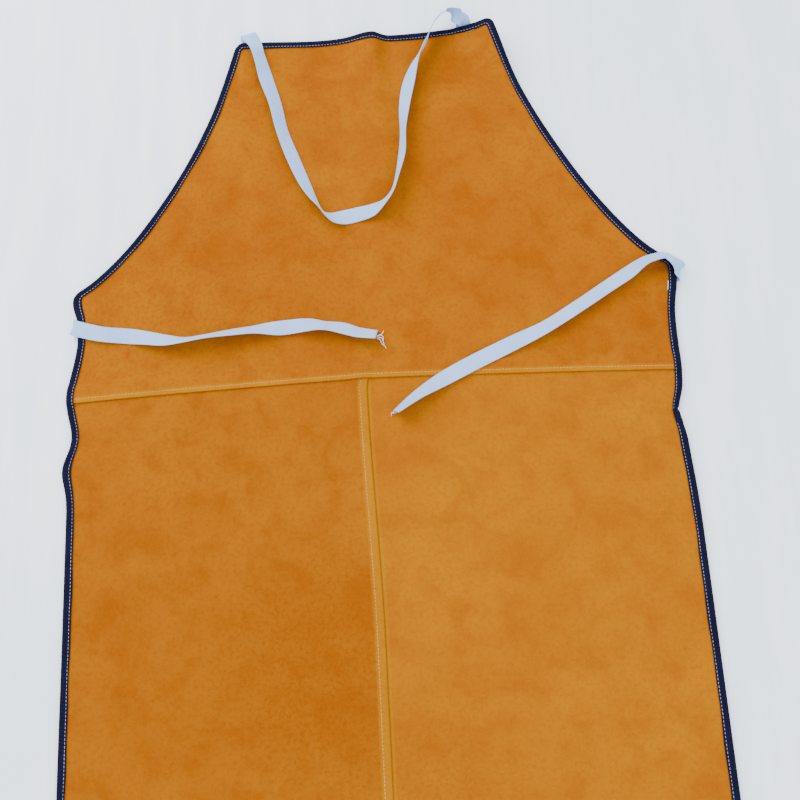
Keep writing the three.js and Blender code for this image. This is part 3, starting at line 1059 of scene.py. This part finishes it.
def binding_finish():
    finish = Finish("navy_binding_tape")
    length, across, _ = finish.parts(finish.places("UV"))
    rib = (length * (2 * math.pi / (1.3 * MM)) + across * 60).sine()
    cross = (across * (2 * math.pi * 26)).sine()
    weave = rib * 0.6 + cross * 0.4
    on_row = (across - 0.128).size().ramp(0.055, 0.0)
    pull = (length * (2 * math.pi / stitch_pitch)).sine() * on_row
    places = finish.places()
    wear = finish.noise(places, 46, 4, 0.6)
    lint = finish.noise(places, 620, 3, 0.7)
    color = finish.blend(wear.ramp(0.35, 0.75), linear(5, 5, 26), linear(10, 10, 38))
    # Painted highlight: the tops of the weave are lighter in the colour.
    color = finish.blend(0.35 * (weave * 0.5 + 0.5).ramp(0.3, 0.9), color, linear(15, 15, 48))
    color = finish.blend(0.35 * lint.ramp(0.66, 0.78), color, linear(66, 66, 104))
    height = weave * 0.35 + lint * 0.5 + pull * 1.6
    return finish.close(color, 0.82, height, 0.00028, 0.8, Specular_IOR_Level=0.1)


navy_tape = binding_finish()
rings = binding_rings()
section_run = np.array(binding_section)[:, :2]
section_steps = np.linalg.norm(np.diff(np.vstack([section_run, section_run[:1]]), axis=0), axis=1)
section_share = np.concatenate([[0], np.cumsum(section_steps)]) / section_steps.sum()
binding = swept("edge_binding_tape", rings, edge_run, section_share, closed=True)
binding.data.materials.append(navy_tape)
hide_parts("edge_binding")
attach(binding, "apron")

# ---- Stitching ----------------------------------------------------------------------------------
# Lockstitch rows: white through the binding, gold along the waist seam and the centre seam. Each
# stitch is a short run of thread that goes down into the leather or the tape at both its ends.


def stitch_rows():
    """Puts a stitch at even steps along the edges of a mesh."""
    tree = bpy.data.node_groups.new("stitch_rows", "GeometryNodeTree")
    sockets = tree.interface
    sockets.new_socket("Line", in_out="INPUT", socket_type="NodeSocketGeometry")
    usual = {"Pitch": 3.3 * MM, "Length": 2.6 * MM, "Width": 0.8 * MM, "Height": 0.5 * MM}
    for name, size in {**usual, "Slant": 0.06}.items():
        sockets.new_socket(name, in_out="INPUT", socket_type="NodeSocketFloat").default_value = size
    sockets.new_socket("Seed", in_out="INPUT", socket_type="NodeSocketInt").default_value = 1
    sockets.new_socket("Thread", in_out="INPUT", socket_type="NodeSocketMaterial")
    sockets.new_socket("Stitches", in_out="OUTPUT", socket_type="NodeSocketGeometry")
    nodes, link = tree.nodes, tree.links.new

    def node(kind, settings=None, sockets=None):
        made = nodes.new(kind)
        for key, value in (settings or {}).items():
            setattr(made, key, value)
        for key, value in (sockets or {}).items():
            if isinstance(value, bpy.types.NodeSocket):
                link(value, made.inputs[key])
            else:
                made.inputs[key].default_value = value
        return made

    given = nodes.new("NodeGroupInput").outputs
    line = node("GeometryNodeMeshToCurve", None, {"Mesh": given["Line"]})
    steps = node(
        "GeometryNodeCurveToPoints",
        {"mode": "LENGTH"},
        {"Curve": line.outputs[0], "Length": given["Pitch"]},
    )
    tangent = {"Vector": steps.outputs["Tangent"]}
    along = node("FunctionNodeAlignRotationToVector", {"axis": "X"}, tangent)
    upright = node(
        "FunctionNodeAlignRotationToVector",
        {"axis": "Z", "pivot_axis": "X"},
        {"Rotation": along.outputs[0], "Vector": (0, 0, 1)},
    )
    least = node("ShaderNodeMath", {"operation": "MULTIPLY"}, {0: given["Slant"], 1: -1.0})
    slant = node(
        "FunctionNodeRandomValue",
        {"data_type": "FLOAT"},
        {2: least.outputs[0], 3: given["Slant"], "Seed": given["Seed"]},
    )
    turn = node("ShaderNodeCombineXYZ", None, {"Z": slant.outputs[1]})
    as_rotation = node("FunctionNodeEulerToRotation", None, {"Euler": turn.outputs[0]})
    turned = node(
        "FunctionNodeRotateRotation",
        {"rotation_space": "LOCAL"},
        {0: upright.outputs[0], 1: as_rotation.outputs[0]},
    )
    size = node(
        "FunctionNodeRandomValue", {"data_type": "FLOAT"}, {2: 0.88, 3: 1.1, "Seed": given["Seed"]}
    )
    ball = node("GeometryNodeMeshUVSphere", None, {"Segments": 8, "Rings": 5, "Radius": 0.5})
    lying = node(
        "GeometryNodeTransform",
        None,
        {"Geometry": ball.outputs["Mesh"], "Rotation": (0, math.pi / 2, 0)},
    )
    scale = node(
        "ShaderNodeCombineXYZ",
        None,
        {"X": given["Length"], "Y": given["Width"], "Z": given["Height"]},
    )
    stitch = node(
        "GeometryNodeTransform", None, {"Geometry": lying.outputs[0], "Scale": scale.outputs[0]}
    )
    placed = node(
        "GeometryNodeInstanceOnPoints",
        None,
        {
            "Points": steps.outputs["Points"],
            "Instance": stitch.outputs[0],
            "Rotation": turned.outputs[0],
            "Scale": size.outputs[1],
        },
    )
    real = node("GeometryNodeRealizeInstances", None, {"Geometry": placed.outputs[0]})
    threaded = node(
        "GeometryNodeSetMaterial", None, {"Geometry": real.outputs[0], "Material": given["Thread"]}
    )
    made = nodes.new("NodeGroupOutput")
    link(threaded.outputs[0], made.inputs[0])
    return tree


stitch_tree = stitch_rows()


def sew(name, lines, closed, thread_material, seed, **sizes):
    """Stitches along lines of points, as one mesh that goes with the apron."""
    vertices, edges, count = [], [], 0
    for line in lines:
        vertices += line.tolist()
        edges += [(count + i, count + i + 1) for i in range(len(line) - 1)]
        if closed:
            edges.append((count + len(line) - 1, count))
        count += len(line)
    guide_mesh = bpy.data.meshes.new(name + "_guide")
    guide_mesh.from_pydata(vertices, edges, [])
    guide = new_object(name + "_guide", guide_mesh)
    rows = guide.modifiers.new("stitches", "NODES")
    rows.node_group = stitch_tree
    given = {
        item.name: item.identifier
        for item in stitch_tree.interface.items_tree
        if item.in_out == "INPUT"
    }
    rows[given["Thread"]] = thread_material
    rows[given["Seed"]] = seed
    for size, value in sizes.items():
        rows[given[size]] = value
    bpy.context.view_layer.update()
    evaluated = guide.evaluated_get(bpy.context.evaluated_depsgraph_get())
    mesh = bpy.data.meshes.new_from_object(evaluated)
    mesh.polygons.foreach_set("use_smooth", [True] * len(mesh.polygons))
    bpy.data.objects.remove(guide)
    piece = new_object(name, mesh)
    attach(piece, "apron")
    return piece


gold_thread = thread_finish("gold_thread", linear(196, 128, 6), linear(164, 98, 2))

row_inset = (stitch_inset + 0.35 * binding_wander(edge_run[:-1])) * MM
row_place = edge_points + edge_inwards * row_inset[:, None]
row_rise = under_binding(edge_points[:, 0], edge_points[:, 1])
row_heights = (4.02 * MM + row_rise, 0.24 * MM + 0 * row_rise)
binding_rows = [settle(np.column_stack([row_place, height])) for height in row_heights]
stitch_size = {"Length": 2.4 * MM, "Width": 0.66 * MM, "Height": 0.5 * MM}
binding_stitches = sew(
    "binding_stitches", binding_rows, True, white_thread, 11, Pitch=stitch_pitch, **stitch_size
)
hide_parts("binding_stitching")

seam_end = half_width - (binding_inner + 1) * MM
seam_step = 1.5 * MM
waist_x = np.arange(-seam_end, seam_end, seam_step)
waist_y = np.full(len(waist_x), waist_seam + waist_stitch_inset)
centre_y = np.arange(hem_edge + (binding_inner + 1) * MM, waist_seam - 1 * MM, seam_step)
centre_x = np.full(len(centre_y), centre_seam - centre_stitch_inset)
front_z, back_z = leather_top - 0.42 * MM, leather_bottom - 0.05 * MM
seams = (
    ("waist_seam_front_stitches", waist_x, waist_y, front_z, over_skirts, 21),
    ("waist_seam_back_stitches", waist_x, waist_y, back_z, not_raised, 22),
    ("centre_seam_front_stitches", centre_x, centre_y, front_z, over_right_skirt, 23),
    ("centre_seam_back_stitches", centre_x, centre_y, back_z, not_raised, 24),
)
seam_size = {"Length": 3.0 * MM, "Width": 1.1 * MM, "Height": 0.8 * MM}
for name, x, y, height, raised, seed in seams:
    row = settle(np.stack([x, y, height + raised(x, y)], axis=-1))
    stitches = sew(name, [row], False, gold_thread, seed, Pitch=stitch_pitch, **seam_size)
    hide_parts(name.replace("stitches", "thread"))

# ---- Bar tacks ----------------------------------------------------------------------------------
# A dense zigzag over a few long strands holds each end of the webbing: gold thread on the neck
# strap, white on the ties.

dull_gold_thread = thread_finish("dull_gold_thread", linear(158, 92, 4), linear(140, 76, 2))
tack_thread = thread_finish("tack_thread", linear(200, 196, 216), linear(160, 156, 188))


def bar_tack(node, thread_material, aside=(0, 0)):
    low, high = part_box(node)
    middle = (low + high) / 2 + Vector((*aside, 0)) * MM
    along_x = high.x - low.x > high.y - low.y
    width, length = sorted((high.x - low.x, high.y - low.y))
    crossings = 17
    zigzag = []
    for i in range(crossings):
        share = i / (crossings - 1) - 0.5
        for side in (-1, 1):
            zigzag.append((side * width / 2, (share + side * 0.012) * length))
    core_stops = np.linspace(-0.5, 0.5, 7)
    core = [
        [(0.25 * side * width, share * length) for share in core_stops] for side in (-1, 1)
    ]
    strands = []
    for row, height in ((zigzag, 3.05), *((line, 2.9) for line in core)):
        points = []
        for (a, b), (c, d) in zip(row, row[1:]):
            for share in (0, 0.34, 0.67):
                across, along = a + (c - a) * share, b + (d - b) * share
                arch = 0.22 * math.sin(math.pi * (across / width + 0.5)) * MM
                x, y = (along, across) if along_x else (across, along)
                points.append([middle.x + x, middle.y + y, height * MM + arch])
        strands.append(thread(settle(points), 0.24 * MM))
    piece = thread_piece(node + "_thread", strands)
    piece.data.materials.append(thread_material)
    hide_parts(node)
    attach(piece, "apron")


bar_tack("neck_strap_left_tack", dull_gold_thread)
bar_tack("neck_strap_right_tack", dull_gold_thread)
bar_tack("left_tie_tack", tack_thread)
bar_tack("right_tie_tack", tack_thread, aside=(1.2, -6))

# ---- Floor and light ----------------------------------------------------------------------------
# A pale board floor with a faint grain, a large soft light from beyond the bib, and a wide fill.

floor_half = 1.6
floor_mesh = bpy.data.meshes.new("floor")
floor_mesh.from_pydata(
    [(x, y, -0.4 * MM) for x, y in ((-1, -1), (1, -1), (1, 1), (-1, 1))], [], [(0, 1, 2, 3)]
)
floor_mesh.transform(Matrix.Diagonal((floor_half, floor_half, 1, 1)))
floor = new_object("floor", floor_mesh)
floor_finish = Finish("pale_floor")
floor_places = floor_finish.places()
floor_stretch = floor_finish.stretched(floor_places, (9, 1.2, 1), 0.03)
floor_grain = floor_finish.noise(floor_stretch, 4.0, 4, 0.6)
floor_color = floor_finish.blend(
    floor_grain.ramp(0.38, 0.66), linear(233, 241, 250), linear(242, 247, 254)
)
floor.data.materials.append(floor_finish.close(floor_color, 0.55))


def soft_light(name, place, aim, size, power, color):
    lamp = bpy.data.lights.new(name, "AREA")
    lamp.shape = "DISK"
    lamp.size = size
    lamp.energy = power
    lamp.color = color
    light = new_object(name, lamp)
    direction = Vector(aim) - Vector(place)
    light.matrix_world = (
        Matrix.Translation(place) @ direction.to_track_quat("-Z", "Y").to_matrix().to_4x4()
    )


soft_light("window_light", (-1.3, 1.5, 1.5), (0, 0.1, 0), 2.0, 84, (1.0, 0.985, 0.96))
soft_light("fill_light", (0.9, -1.3, 2.1), (0, 0, 0), 2.4, 52, (0.93, 0.97, 1.0))
world = bpy.data.worlds.new("studio")
bpy.context.scene.world = world
world.use_nodes = True
world.node_tree.nodes["Background"].inputs["Color"].default_value = (0.86, 0.93, 1.0, 1)
world.node_tree.nodes["Background"].inputs["Strength"].default_value = 1.75
